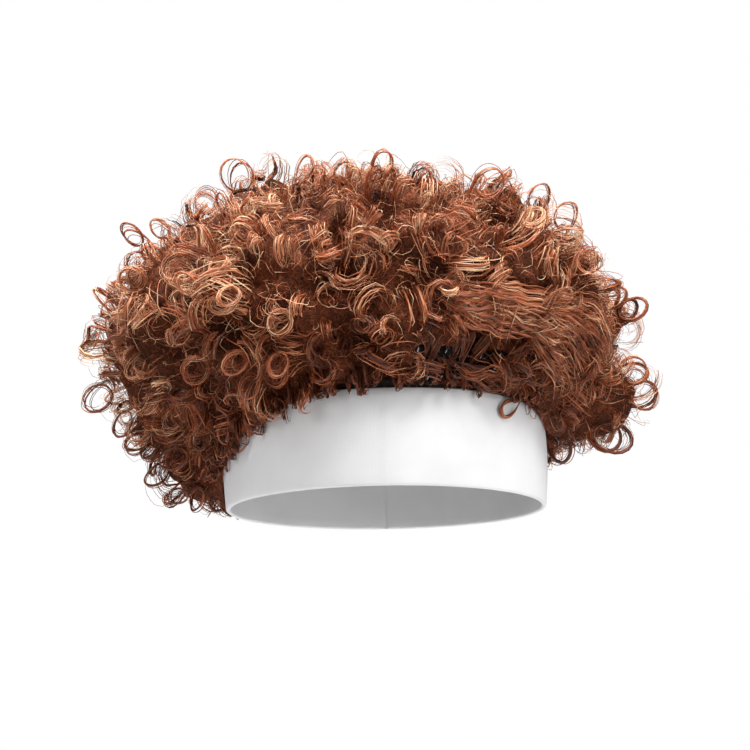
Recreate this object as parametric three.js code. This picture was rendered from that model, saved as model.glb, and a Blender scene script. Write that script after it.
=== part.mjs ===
// Curly afro wig on a stretch headband, in millimetres, +Z up, as it sits on a head.
// The origin is the middle of the headband's lower rim, where the head goes in. The face looks along -Y.
// An azimuth is measured seen from above: 0 is the front, 90 the +X side, 180 the back and 270 the -X side.
import * as THREE from "three";

// Driving dimensions
const HEAD_BREADTH = 155; // inside the band, side to side
const HEAD_LENGTH = 192; // inside the band, front to back
const HEAD_EGG = 0.045; // how much narrower the forehead is than the back of the head
const BAND_HEIGHT = 45.5;
const BAND_WALL = 2.4; // two layers of stretch knit
const BAND_BARREL = 1.2; // outward bow of the band at half its height
const RIM_ROUNDING = 0.25; // share of the band's wall that is rounded off at each side of a rim
const CAP_WALL = 1.2; // net and weft tape
const CAP_LAP = 8; // how far the cap's edge is sewn down inside the band
const CAP_CROWN = 108; // inside of the cap above the band's lower rim
const DOME_FOOT = 50; // height above the band's lower rim where the cap's wall starts to curve in
const DOME_SPRING = 1; // last straight stretch of the cap's wall below that
const CAP_ROUNDNESS = 2.3; // exponent of the dome: 2 is an ellipse, more is fuller
const SEWING_GAP = 0.4; // clearance between pieces that are sewn together
const HAIR_CROWN = 163; // top of the hair before its tufts
const HAIR_ROUNDNESS = 2.25; // exponent of the upper half's outline
const HAIR_UNDERSIDE = 1.5; // exponent of the lower half's outline: 1 is a straight slope
const HEM_WIDTH = 8; // thickness of the hair at its lower edge
const HEM_DEPTH = 2; // least height of the hem's inner wall, where the hair starts above the band
const HAIR_HEART = 70; // height from which the tufts' directions are measured
const LUMP_RISE = 3.5; // depth of the lumps all over the hair
const LUMP_SIZE = 26; // distance from a lump to the hollow beside it
const LUMP_LEAN = 0.4; // slant of the rows of lumps, so that they don't line up

const AZIMUTH_STEPS = 56;
const UPPER_STEPS = 15;
const LOWER_STEPS = 6;
const DOME_STEPS = 8;
const HALF_STEP = 0.5; // the rings next to a pole stand half a step from it

// Vertical sections of the hair: how far the belly stands from the axis, how high it is,
// and how high the hem hangs.
const HAIR_SECTIONS = [
  { azimuth: 0, bellyReach: 136, bellyHeight: 98, hemHeight: 48 },
  { azimuth: 45, bellyReach: 133, bellyHeight: 86, hemHeight: 45 },
  { azimuth: 85, bellyReach: 119, bellyHeight: 62, hemHeight: 36 },
  { azimuth: 110, bellyReach: 122, bellyHeight: 64, hemHeight: 33 },
  { azimuth: 145, bellyReach: 142, bellyHeight: 70, hemHeight: 24 },
  { azimuth: 180, bellyReach: 156, bellyHeight: 74, hemHeight: 12 },
  { azimuth: 225, bellyReach: 150, bellyHeight: 72, hemHeight: 4 },
  { azimuth: 255, bellyReach: 145, bellyHeight: 73, hemHeight: 2 },
  { azimuth: 285, bellyReach: 142, bellyHeight: 80, hemHeight: 22 },
  { azimuth: 320, bellyReach: 140, bellyHeight: 87, hemHeight: 39 },
];

// Tufts that stand out of the outline, and the notches between them, which have a negative rise.
const TUFTS = [
  { azimuth: 270, elevation: -22, spread: 9, rise: -6 },
  { azimuth: 270, elevation: -10, spread: 6, rise: -5 },
  { azimuth: 270, elevation: -2, spread: 7, rise: 6 },
  { azimuth: 270, elevation: 12, spread: 7, rise: 3 },
  { azimuth: 270, elevation: 29, spread: 8, rise: 6 },
  { azimuth: 270, elevation: 50, spread: 10, rise: 12 },
  { azimuth: 275, elevation: 65, spread: 11, rise: 11 },
  { azimuth: 60, elevation: 72, spread: 12, rise: -4 },
  { azimuth: 80, elevation: 66, spread: 9, rise: -6 },
  { azimuth: 90, elevation: 49, spread: 9, rise: 2 },
  { azimuth: 66, elevation: 32, spread: 11, rise: -6 },
  { azimuth: 86, elevation: 30, spread: 11, rise: -8 },
  { azimuth: 108, elevation: 26, spread: 12, rise: -9 },
  { azimuth: 128, elevation: 26, spread: 10, rise: -6 },
  { azimuth: 90, elevation: 12, spread: 7, rise: 12 },
  { azimuth: 85, elevation: 3, spread: 5, rise: -4 },
  { azimuth: 105, elevation: 3, spread: 7, rise: -5 },
  { azimuth: 90, elevation: -6, spread: 7, rise: 11 },
  { azimuth: 90, elevation: -18, spread: 9, rise: 12 },
  { azimuth: 0, elevation: 30, spread: 14, rise: 2 },
  { azimuth: 40, elevation: 22, spread: 12, rise: 4 },
  { azimuth: 322, elevation: 18, spread: 12, rise: 5 },
  { azimuth: 140, elevation: 10, spread: 14, rise: 4 },
  { azimuth: 180, elevation: 38, spread: 14, rise: 4 },
  { azimuth: 225, elevation: 14, spread: 14, rise: 4 },
];

const radians = THREE.MathUtils.degToRad;
const TOP_POLE = 90;

// The unit direction of an azimuth and an elevation.
function direction(azimuth, elevation) {
  const flat = Math.cos(radians(elevation));
  return new THREE.Vector3(
    flat * Math.sin(radians(azimuth)),
    -flat * Math.cos(radians(azimuth)),
    Math.sin(radians(elevation)),
  );
}

// The point at a radius and a height on the ray of an azimuth.
function onRay(azimuth, radius, height) {
  const point = direction(azimuth, 0).multiplyScalar(radius);
  point.z = height;
  return point;
}

// The head's egg-shaped outline at band level, as a polar radius, grown by an offset.
function headRadius(azimuth, offset) {
  const across = Math.sin(radians(azimuth));
  const along = Math.cos(radians(azimuth));
  const breadth = HEAD_BREADTH / 2 + offset;
  const length = HEAD_LENGTH / 2 + offset;
  const oval = 1 / Math.hypot(across / breadth, along / length);
  return oval * (1 - HEAD_EGG * along * across * across);
}

// One closed ring of points, one on each ray.
function ring(pointAt) {
  return Array.from({ length: AZIMUTH_STEPS }, (_, step) => pointAt((360 * step) / AZIMUTH_STEPS));
}

// A closed skin over rings in order. With poles it starts and ends in a point,
// and without them it closes on itself.
function skin(rings, poles) {
  const points = rings.flat();
  const index = [];
  const at = (row, step) => row * AZIMUTH_STEPS + (step % AZIMUTH_STEPS);
  const rows = poles ? rings.length - 1 : rings.length;
  for (let row = 0; row < rows; row++) {
    const next = (row + 1) % rings.length;
    for (let step = 0; step < AZIMUTH_STEPS; step++) {
      index.push(at(row, step), at(next, step), at(next, step + 1));
      index.push(at(row, step), at(next, step + 1), at(row, step + 1));
    }
  }
  if (poles) {
    const [first, last] = [points.push(poles[0]) - 1, points.push(poles[1]) - 1];
    for (let step = 0; step < AZIMUTH_STEPS; step++) {
      index.push(first, at(0, step), at(0, step + 1));
      index.push(last, at(rows, step + 1), at(rows, step));
    }
  }
  const geometry = new THREE.BufferGeometry().setFromPoints(points);
  geometry.setIndex(index);
  geometry.computeVertexNormals();
  return geometry;
}

// Headband: a strip of stretch knit folded double and sewn into a ring, bowed a little by the head.
// Its section goes up the outside and down the inside, with rounded rims.
function headbandGeometry() {
  const fold = BAND_WALL / 2;
  const innerEdge = BAND_WALL * RIM_ROUNDING;
  const outerEdge = BAND_WALL - innerEdge;
  const section = [
    { offset: outerEdge, height: 0 },
    { offset: BAND_WALL, height: fold },
    { offset: BAND_WALL + BAND_BARREL, height: BAND_HEIGHT / 2 },
    { offset: BAND_WALL, height: BAND_HEIGHT - fold },
    { offset: outerEdge, height: BAND_HEIGHT },
    { offset: innerEdge, height: BAND_HEIGHT },
    { offset: 0, height: BAND_HEIGHT - fold },
    { offset: BAND_BARREL, height: BAND_HEIGHT / 2 },
    { offset: 0, height: fold },
    { offset: innerEdge, height: 0 },
  ];
  const rings = section.map(({ offset, height }) =>
    ring((azimuth) => onRay(azimuth, headRadius(azimuth, offset), height)),
  );
  return skin(rings.reverse(), null);
}

// One ring of the dome over the cap's straight wall: a share of a quarter turn up,
// swollen by a thickness.
function domeRing(share, swell) {
  const turn = radians(TOP_POLE * share);
  const inward = Math.cos(turn) ** (2 / CAP_ROUNDNESS);
  const upward = Math.sin(turn) ** (2 / CAP_ROUNDNESS);
  const height = DOME_FOOT + (CAP_CROWN - DOME_FOOT + swell) * upward;
  const seat = swell - SEWING_GAP - CAP_WALL;
  return ring((azimuth) => onRay(azimuth, headRadius(azimuth, seat) * inward, height));
}

// The rings of a dome from near its top to near its foot.
function domeRings(swell) {
  const share = (step) => (DOME_STEPS - HALF_STEP - step) / DOME_STEPS;
  return Array.from({ length: DOME_STEPS }, (_, step) => domeRing(share(step), swell));
}

// Wig cap: a thin net dome whose edge is sewn down inside the band.
// The hair's wefts are sewn to its outside.
function wigCapGeometry() {
  const edge = BAND_HEIGHT - CAP_LAP;
  const spring = DOME_FOOT - DOME_SPRING;
  const wall = (swell, height) =>
    ring((azimuth) => onRay(azimuth, headRadius(azimuth, swell - SEWING_GAP - CAP_WALL), height));
  const outside = [...domeRings(CAP_WALL), wall(CAP_WALL, spring), wall(CAP_WALL, edge)];
  const inside = [...domeRings(0), wall(0, spring), wall(0, edge)];
  const poles = [new THREE.Vector3(0, 0, CAP_CROWN + CAP_WALL), new THREE.Vector3(0, 0, CAP_CROWN)];
  return skin([...outside, ...inside.reverse()], poles);
}

// A hair section between the table's rows, eased so that the rows are the extremes.
function hairSection(azimuth) {
  const after = HAIR_SECTIONS.findIndex((row) => row.azimuth > azimuth);
  const next = HAIR_SECTIONS[Math.max(after, 0)];
  const last = HAIR_SECTIONS.at(Math.max(after, 0) - 1);
  const span = (next.azimuth - last.azimuth + 360) % 360;
  const share = THREE.MathUtils.smoothstep((azimuth - last.azimuth) / span, 0, 1);
  const between = (column) => THREE.MathUtils.lerp(last[column], next[column], share);
  return {
    bellyReach: between("bellyReach"),
    bellyHeight: between("bellyHeight"),
    hemHeight: between("hemHeight"),
  };
}

// A wave along one direction that goes from crest to trough over the size of a lump.
function wave(distance) {
  return Math.sin((Math.PI * distance) / LUMP_SIZE);
}

// A point of the hair's outer form moved out by its lumps and tufts, or in by its notches.
function tufted(point) {
  const heart = new THREE.Vector3(0, 0, HAIR_HEART);
  const outward = point.clone().sub(heart).normalize();
  const { x, y, z } = point;
  const rowsAcross = wave(x + LUMP_LEAN * z) * wave(y - LUMP_LEAN * x);
  const rowsUp = wave(z + LUMP_LEAN * y) * wave(x - LUMP_LEAN * z);
  let rise = (LUMP_RISE * (rowsAcross + rowsUp)) / 2;
  for (const tuft of TUFTS) {
    const angle = THREE.MathUtils.radToDeg(outward.angleTo(direction(tuft.azimuth, tuft.elevation)));
    rise += tuft.rise * Math.exp(-((angle / tuft.spread) ** 2));
  }
  return point.addScaledVector(outward, rise);
}

// A ring of the hair's outer form. A share from 0 to 1 climbs from the belly to the crown,
// and one from 0 to -1 goes down from the belly to the hem.
function hairRing(share) {
  return ring((azimuth) => {
    const { bellyReach, bellyHeight, hemHeight } = hairSection(azimuth);
    const turn = radians(TOP_POLE * Math.abs(share));
    if (share >= 0) {
      const reach = bellyReach * Math.cos(turn) ** (2 / HAIR_ROUNDNESS);
      const climb = (HAIR_CROWN - bellyHeight) * Math.sin(turn) ** (2 / HAIR_ROUNDNESS);
      return tufted(onRay(azimuth, reach, bellyHeight + climb));
    }
    const hem = headRadius(azimuth, BAND_WALL + BAND_BARREL + SEWING_GAP + HEM_WIDTH);
    const reach = hem + (bellyReach - hem) * Math.cos(turn) ** (2 / HAIR_UNDERSIDE);
    const drop = (bellyHeight - hemHeight) * Math.sin(turn) ** (2 / HAIR_UNDERSIDE);
    const point = onRay(azimuth, reach, bellyHeight - drop);
    return share > -1 ? tufted(point) : point;
  });
}

// Hair: the outer form of the curls. It is a thick shell whose inside follows the band's outside
// and then the cap.
function hairGeometry() {
  const climb = (step) => (UPPER_STEPS - HALF_STEP - step) / UPPER_STEPS;
  const upper = Array.from({ length: UPPER_STEPS }, (_, step) => hairRing(climb(step)));
  const lower = Array.from({ length: LOWER_STEPS + 1 }, (_, step) => hairRing(-step / LOWER_STEPS));
  const clearOfBand = BAND_WALL + BAND_BARREL + SEWING_GAP;
  const clearOfCap = CAP_WALL + SEWING_GAP;
  const hem = (azimuth) => hairSection(azimuth).hemHeight;
  const ledge = (azimuth) => Math.max(hem(azimuth) + HEM_DEPTH, BAND_HEIGHT + SEWING_GAP);
  const inner = [
    ring((azimuth) => onRay(azimuth, headRadius(azimuth, clearOfBand), hem(azimuth))),
    ring((azimuth) => onRay(azimuth, headRadius(azimuth, clearOfBand), ledge(azimuth))),
    ring((azimuth) => onRay(azimuth, headRadius(azimuth, 0), ledge(azimuth))),
    ...domeRings(clearOfCap).reverse(),
  ];
  const crown = tufted(new THREE.Vector3(0, 0, HAIR_CROWN));
  const overCap = new THREE.Vector3(0, 0, CAP_CROWN + clearOfCap);
  return skin([...upper, ...lower, ...inner], [crown, overCap]);
}

// Finishes
const knit = new THREE.MeshStandardMaterial({ color: "#f2f2f4", roughness: 0.85, metalness: 0 });
const net = new THREE.MeshStandardMaterial({ color: "#17120f", roughness: 0.7, metalness: 0 });
const fibre = new THREE.MeshStandardMaterial({ color: "#74401f", roughness: 0.45, metalness: 0 });

// Assembly
const wig = new THREE.Group();

function addPiece(name, geometry, material) {
  const piece = new THREE.Mesh(geometry, material);
  piece.name = name;
  wig.add(piece);
}

addPiece("headband", headbandGeometry(), knit);
addPiece("wig_cap", wigCapGeometry(), net);
addPiece("hair", hairGeometry(), fibre);

export default wig;
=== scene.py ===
import bpy
import numpy as np
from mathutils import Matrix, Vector
from mathutils.bvhtree import BVHTree


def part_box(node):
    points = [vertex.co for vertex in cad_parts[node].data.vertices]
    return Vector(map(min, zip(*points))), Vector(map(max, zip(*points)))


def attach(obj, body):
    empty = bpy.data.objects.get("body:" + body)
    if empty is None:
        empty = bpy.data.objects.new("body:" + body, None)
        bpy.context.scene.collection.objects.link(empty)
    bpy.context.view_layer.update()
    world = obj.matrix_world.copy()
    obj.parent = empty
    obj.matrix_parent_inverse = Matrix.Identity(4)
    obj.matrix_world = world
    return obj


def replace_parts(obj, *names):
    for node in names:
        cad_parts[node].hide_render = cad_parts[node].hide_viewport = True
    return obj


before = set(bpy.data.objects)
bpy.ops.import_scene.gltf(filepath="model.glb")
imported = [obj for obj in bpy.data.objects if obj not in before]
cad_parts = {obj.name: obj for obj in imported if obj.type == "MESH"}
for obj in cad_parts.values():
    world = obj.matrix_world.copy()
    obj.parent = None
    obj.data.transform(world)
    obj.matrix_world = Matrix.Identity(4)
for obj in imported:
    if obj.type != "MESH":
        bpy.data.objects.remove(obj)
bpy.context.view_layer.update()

# Headband
# A strip of white stretch knit, folded double over its lower rim and sewn into a ring at the back.
# The head inside it pulls it smooth, apart from a few shallow ripples where the hair's weight drags on it.
CLOTH = 0.00105
LAYER_GAP = 0.0003
BOW = 0.0012
RIPPLE = 0.00035
RIM_WAVE = 0.0007
AROUND = 168
UP_LAYER = 12
FOLD_STEPS = 6
SEAM_DEPTH = 0.0007
SEAM_WIDTH = np.radians(0.5)
SEAM_COLUMNS = np.radians([-1.2, -0.8, -0.5, -0.25, 0.25, 0.5, 0.8, 1.2])
STITCH_WALE = 0.0011
STITCH_COURSE = 0.0009
OUTLINE_WAVES = 7
MAP_NAME = "OFBake"
MEAN_RADIUS = 0.087
KNIT_WHITES = [(0.3, (0.75, 0.745, 0.75)), (0.7, (0.81, 0.81, 0.82))]


def node_points(name):
    """The corners of a CAD node's mesh, as rows of x, y and z."""
    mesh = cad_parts[name].data
    flat = np.empty(len(mesh.vertices) * 3)
    mesh.vertices.foreach_get("co", flat)
    return flat.reshape(-1, 3)


def azimuth_of(points):
    """The angle round the head: 0 at the front, a quarter turn at the +X side."""
    return np.arctan2(points[..., 0], -points[..., 1])


def on_ray(azimuth, radius, height):
    """The point at a radius and a height on the ray of an azimuth."""
    return np.stack(
        np.broadcast_arrays(radius * np.sin(azimuth), -radius * np.cos(azimuth), height), axis=-1
    )


def harmonics(azimuth):
    """The cosines of whole multiples of an azimuth, which carry an outline that is alike on both sides."""
    return np.cos(np.asarray(azimuth)[..., None] * np.arange(OUTLINE_WAVES))


def outline_of(points):
    """The harmonics of a closed ring of points, so that its radius can be read at any azimuth."""
    radius = np.hypot(points[:, 0], points[:, 1])
    return np.linalg.lstsq(harmonics(azimuth_of(points)), radius, rcond=None)[0]


def piece_from(name, slot, material, points, quads, triangles=(), uv=None):
    """A mesh object of one material from whole arrays: its points, its four-sided and three-sided faces,
    and a map point for each of its points if it has a map."""
    quads = np.asarray(quads, int).reshape(-1, 4)
    triangles = np.asarray(triangles, int).reshape(-1, 3)
    corners = np.concatenate([quads.ravel(), triangles.ravel()])
    starts = np.concatenate([np.arange(len(quads)) * 4, quads.size + np.arange(len(triangles)) * 3])
    mesh = bpy.data.meshes.new(name)
    mesh.vertices.add(len(points))
    mesh.vertices.foreach_set("co", np.asarray(points, np.float32).ravel())
    mesh.loops.add(len(corners))
    mesh.loops.foreach_set("vertex_index", corners.astype(np.int32))
    mesh.polygons.add(len(starts))
    mesh.polygons.foreach_set("loop_start", starts.astype(np.int32))
    mesh.polygons.foreach_set("use_smooth", np.ones(len(starts), bool))
    mesh.update(calc_edges=True)
    if uv is not None:
        layer = mesh.uv_layers.new(name=MAP_NAME)
        layer.data.foreach_set("uv", np.asarray(uv, np.float32)[corners].ravel())
    mesh.materials.append(material)
    piece = bpy.data.objects.new(name, mesh)
    bpy.context.scene.collection.objects.link(piece)
    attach(piece, "root")
    return piece


def grid_faces(rows, columns, close_rows, close_columns):
    """The four-sided faces of a grid of points, closed on itself along its rows or columns if asked."""
    row = np.arange(rows if close_rows else rows - 1)[:, None]
    column = np.arange(columns if close_columns else columns - 1)[None, :]
    next_row = (row + 1) % rows
    next_column = (column + 1) % columns
    corners = (
        row * columns + column,
        row * columns + next_column,
        next_row * columns + next_column,
        next_row * columns + column,
    )
    return np.stack(np.broadcast_arrays(*corners), axis=-1).reshape(-1, 4)


class Socket:
    """A socket of a material's nodes. Sums, differences and products of sockets add Math nodes."""

    def __init__(self, tree, socket=None):
        self.tree = tree
        self.socket = socket

    def add(self, kind, settings, **inputs):
        """Adds a node of a kind, gives it its settings and then its sockets' values or links."""
        node = self.tree.nodes.new("ShaderNode" + kind)
        for name, value in settings.items():
            if name == "stops":
                ramp = node.color_ramp.elements
                while len(ramp) < len(value):
                    ramp.new(1.0)
                for stop, (position, colour) in zip(ramp, value):
                    stop.position = position
                    stop.color = (*colour, 1.0)
            else:
                setattr(node, name, value)
        for name, value in inputs.items():
            names = (name, name.replace("_", " "))
            socket = next(s for s in node.inputs if s.identifier in names or s.name in names)
            if isinstance(value, Socket):
                self.tree.links.new(value.socket, socket)
            else:
                socket.default_value = value
        return Socket(self.tree, next((s for s in node.outputs if s.enabled), None))

    def out(self, name):
        """Another output of the same node."""
        return Socket(self.tree, self.socket.node.outputs[name])

    def math(self, operation, *values):
        """A Math node on one or two values, in order."""
        return self.add("Math", {"operation": operation}, **dict(zip(("Value", "Value_001"), values)))

    def __add__(self, other):
        return self.math("ADD", self, other)

    __radd__ = __add__

    def __sub__(self, other):
        return self.math("SUBTRACT", self, other)

    def __rsub__(self, other):
        return self.math("SUBTRACT", other, self)

    def __mul__(self, other):
        return self.math("MULTIPLY", self, other)

    __rmul__ = __mul__


def finish_for(name):
    """A new material, and the socket that its nodes start from."""
    material = bpy.data.materials.new(name)
    material.use_nodes = True
    material.node_tree.nodes.clear()
    return material, Socket(material.node_tree)


def close_finish(start, **shader):
    """The surface shader, with its sockets' values or links, and the material's output."""
    surface = start.add("BsdfPrincipled", {}, **shader)
    start.add("OutputMaterial", {}, Surface=surface)


def map_axes(start):
    """The two axes of a piece's map."""
    apart = start.add("SeparateXYZ", {}, Vector=start.add("UVMap", {"uv_map": MAP_NAME}))
    return apart.out("X"), apart.out("Y")


def band_knit():
    """White stretch knit: rows of small stitches in the relief, and a faint unevenness in the white."""
    material, start = finish_for("band_knit")
    around, up = map_axes(start)
    across = around * (2 * np.pi / STITCH_WALE)
    along = up * (2 * np.pi / STITCH_COURSE)
    slant = start.math("SINE", across) * 1.2
    stitch = start.math("SINE", along + slant) * 0.5 + start.math("SINE", across * 2.0) * 0.5
    place = start.add("TexCoord", {}).out("Object")
    cloudy = start.add("TexNoise", {}, Vector=place, Scale=38.0, Detail=3.0)
    relief = start.add("Bump", {}, Height=stitch, Strength=0.25, Distance=0.0001)
    soft = start.add("Bump", {}, Height=cloudy, Strength=0.25, Distance=0.0012, Normal=relief)
    white = start.add("ValToRGB", {"stops": KNIT_WHITES}, Fac=cloudy)
    close_finish(
        start,
        Base_Color=white,
        Roughness=0.78,
        Normal=soft,
        Sheen_Weight=0.25,
        Sheen_Roughness=0.4,
    )
    return material


band_points = node_points("headband")
BAND_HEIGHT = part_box("headband")[1].z
at_rim = band_points[band_points[:, 2] < BAND_HEIGHT / 2]
rim_azimuths = np.round(np.degrees(azimuth_of(at_rim)), 2)
innermost = np.hypot(at_rim[:, 0], at_rim[:, 1])
order = np.lexsort((innermost, rim_azimuths))
first_of_ray = np.unique(rim_azimuths[order], return_index=True)[1]
HEAD_OUTLINE = outline_of(at_rim[order][first_of_ray])


def head_radius(azimuth):
    """The inside of the band's lower rim, as a radius from the axis of the head."""
    return harmonics(azimuth) @ HEAD_OUTLINE


def folded_strip():
    """The cloth's section: a centreline that comes down the outside, turns up at the fold and climbs
    inside, with half the cloth's thickness to each side of it. Rows of offset from the head, height and
    distance along."""
    fold = (CLOTH + LAYER_GAP) / 2
    outer, inner = CLOTH * 1.5 + LAYER_GAP, CLOTH / 2
    bottom = CLOTH / 2 + fold
    down = np.linspace(BAND_HEIGHT - CLOTH / 2, bottom, UP_LAYER)
    turn = np.linspace(0, np.pi, FOLD_STEPS + 2)[1:-1]
    middle = np.concatenate([
        np.column_stack([np.full(UP_LAYER, outer), down]),
        np.column_stack([(outer + inner) / 2 + fold * np.cos(turn), bottom - fold * np.sin(turn)]),
        np.column_stack([np.full(UP_LAYER, inner), down[::-1]]),
    ])
    side = np.gradient(middle, axis=0)
    side = np.column_stack([-side[:, 1], side[:, 0]])
    side /= np.linalg.norm(side, axis=1, keepdims=True)
    run = np.concatenate([[0], np.cumsum(np.linalg.norm(np.diff(middle, axis=0), axis=1))])
    ends = middle[[0, -1]] + np.array([0, CLOTH / 2])
    left = middle + side * CLOTH / 2
    right = middle - side * CLOTH / 2
    section = np.concatenate([left, ends[1:], right[::-1], ends[:1]])
    along = np.concatenate([run, run[-1:], run[::-1], run[:1]])
    return section[:, 0], section[:, 1], along


def band_surface():
    """The folded section carried round the head. The wall bows out by a half sine over its height, ripples
    in seven and in eleven waves round the head, most at the top, and pinches in as a bell over the seam."""
    offset, height, along = folded_strip()
    even = np.linspace(0, 2 * np.pi, AROUND, endpoint=False)
    azimuth = np.sort(np.concatenate([even, np.pi + SEAM_COLUMNS]))[:, None]
    share = height / BAND_HEIGHT
    bow = BOW * np.sin(np.pi * np.clip(share, 0, 1))
    ripple = RIPPLE * (
        np.sin(7 * azimuth + 5 * share) * np.sin(2 * azimuth + 1) + 0.6 * np.sin(11 * azimuth - 4 * share)
    )
    seam = SEAM_DEPTH * np.exp(-(((azimuth - np.pi) / SEAM_WIDTH) ** 2)) * (offset < CLOTH / 4)
    radius = head_radius(azimuth) + offset + bow + ripple * share + seam
    lift = RIM_WAVE * np.sin(3 * azimuth + 0.6) * np.sin(2 * azimuth) * share
    points = on_ray(azimuth, radius, height + lift)
    uv = np.stack(np.broadcast_arrays(azimuth * MEAN_RADIUS, along), axis=-1)
    return points.reshape(-1, 3), uv.reshape(-1, 2), points.shape[:2]


cloth_points, cloth_uv, cloth_grid = band_surface()
headband = piece_from(
    "headband_cloth",
    "band_knit",
    band_knit(),
    cloth_points,
    grid_faces(*cloth_grid, True, True),
    uv=cloth_uv,
)
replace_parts(headband, "headband")

# Wig cap
# A thin black net dome, crossed by rows of weft tape that carry the hair. Its edge is lapped inside the
# band and sewn down, and pale thread shows along the tapes where the curls leave a gap. The heart is the
# point in the middle of the head that the cap and the hair are measured from.
HEART = np.array([0, 0, 0.07])
FAR = 0.5
LOOKS = np.radians(np.linspace(-60, 90, 301))
COLUMNS = 144
RISES = 72
CAP_COLUMNS = 80
CAP_RISES = 60
TAPE_ROWS = 13
TAPE_RISE = 0.0006
TAPE_PHASE = 0.1
TAPE_STEEPNESS = 3
TAPE_END = 0.97
NET_BLACKS = [(0.0, (0.006, 0.005, 0.005)), (0.6, (0.03, 0.024, 0.021))]
SPECK_STEP = [(0.66, (0, 0, 0)), (0.70, (1, 1, 1))]
SPECK_GREY = (0.45, 0.43, 0.4, 1)


def unit(vectors):
    """Vectors of length one."""
    return vectors / np.linalg.norm(vectors, axis=-1, keepdims=True)


def skins(name):
    """A CAD shell as the heart sees it: grids of its outer and inner points, by azimuth and by a rise from
    its lower edge to its top that is even along the outer skin."""
    tree = BVHTree.FromObject(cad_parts[name], bpy.context.evaluated_depsgraph_get())
    azimuth = np.linspace(0, 2 * np.pi, COLUMNS, endpoint=False)[:, None]
    rays = on_ray(azimuth, np.cos(LOOKS), np.sin(LOOKS))
    heart = Vector(HEART)
    flat_rays = [Vector(ray) for ray in rays.reshape(-1, 3)]
    inner = [tree.ray_cast(heart, ray, FAR)[3] for ray in flat_rays]
    outer = [tree.ray_cast(heart + ray * FAR, -ray, FAR)[3] for ray in flat_rays]
    inner = np.array(inner, float).reshape(rays.shape[:2])
    outer = FAR - np.array(outer, float).reshape(rays.shape[:2])
    grids = []
    for column in range(COLUMNS):
        met = np.isfinite(outer[column]) & np.isfinite(inner[column])
        line = rays[column][met] * outer[column][met][:, None]
        run = np.concatenate([[0], np.cumsum(np.linalg.norm(np.diff(line, axis=0), axis=1))])
        at = np.interp(np.linspace(0, run[-1], RISES), run, LOOKS[met])
        ray = on_ray(azimuth[column], np.cos(at), np.sin(at))
        reach = [np.interp(at, LOOKS[met], skin[column][met])[:, None] for skin in (outer, inner)]
        grids.append([HEART + ray * reach[0], HEART + ray * reach[1]])
    grids = np.array(grids)
    return grids[:, 0], grids[:, 1]


def turns_and_rises(columns, rises):
    """Grids of even turns round the head, and of even rises from the lower edge to the top."""
    turn = np.linspace(0, 1, columns, endpoint=False)[:, None]
    return np.broadcast_arrays(turn, np.linspace(0, 1, rises)[None, :])


def read_grid(grid, turn, rise):
    """A grid read between its points, at a turn round the head and a rise from 0 to 1."""
    columns, rises = grid.shape[:2]
    column = (turn % 1) * columns
    row = np.clip(rise, 0, 1) * (rises - 1)
    west = np.floor(column).astype(int)
    low = np.minimum(np.floor(row).astype(int), rises - 2)
    east_share = (column - west)[..., None]
    high_share = (row - low)[..., None]
    west = west % columns
    east = (west + 1) % columns
    below = grid[west, low] * (1 - east_share) + grid[east, low] * east_share
    above = grid[west, low + 1] * (1 - east_share) + grid[east, low + 1] * east_share
    return below * (1 - high_share) + above * high_share


def shell_from(outer, inner):
    """A closed shell from an outer and an inner grid, joined at the lower edge, each with a pole on top."""
    columns = len(outer)
    profile = np.concatenate([inner[:, -2::-1], outer[:, :-1]], axis=1)
    length = profile.shape[1]
    poles = np.stack([inner[:, -1].mean(0), outer[:, -1].mean(0)])
    points = np.concatenate([profile.reshape(-1, 3), poles])
    column = np.arange(columns)
    after = (column + 1) % columns
    inside = np.column_stack([np.full(columns, columns * length), after * length, column * length])
    last = length - 1
    outside = np.column_stack(
        [np.full(columns, columns * length + 1), column * length + last, after * length + last]
    )
    quads = grid_faces(columns, length, True, False)[:, ::-1]
    return points, quads, np.concatenate([inside, outside])


def cap_net():
    """Black net: small cells of thread in colour and in relief, with a few pale specks of lint."""
    material, start = finish_for("cap_net")
    place = start.add("TexCoord", {}).out("Object")
    mesh = start.add("TexVoronoi", {"feature": "DISTANCE_TO_EDGE"}, Vector=place, Scale=520.0)
    thread = start.add("TexNoise", {}, Vector=place, Scale=900.0, Detail=2.0)
    specks = start.add("TexNoise", {}, Vector=place, Scale=260.0, Detail=1.0)
    pale = start.add("ValToRGB", {"stops": SPECK_STEP}, Fac=specks)
    black = start.add("ValToRGB", {"stops": NET_BLACKS}, Fac=mesh * 6.0 + thread * 0.2)
    colour = start.add(
        "Mix", {"data_type": "RGBA"}, Factor_Float=pale * 0.25, A_Color=black, B_Color=SPECK_GREY
    )
    relief = start.add("Bump", {}, Height=mesh * 4.0 + thread, Strength=0.6, Distance=0.0004)
    close_finish(start, Base_Color=colour, Roughness=0.8, Normal=relief)
    return material


cap_out, cap_in = skins("wig_cap")
cap_turn, cap_rise = turns_and_rises(CAP_COLUMNS, CAP_RISES)
inner_skin = read_grid(cap_in, cap_turn, cap_rise)
outer_skin = read_grid(cap_out, cap_turn, cap_rise)
tapes = np.clip(np.sin(2 * np.pi * (cap_rise * TAPE_ROWS + TAPE_PHASE)) * TAPE_STEEPNESS, 0, 1)
relief = tapes * TAPE_RISE * (cap_rise < TAPE_END)
inner_skin = inner_skin + unit(HEART - inner_skin) * relief[..., None]
cap = piece_from("cap_net", "cap_net", cap_net(), *shell_from(outer_skin, inner_skin))
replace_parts(cap, "wig_cap")

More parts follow.
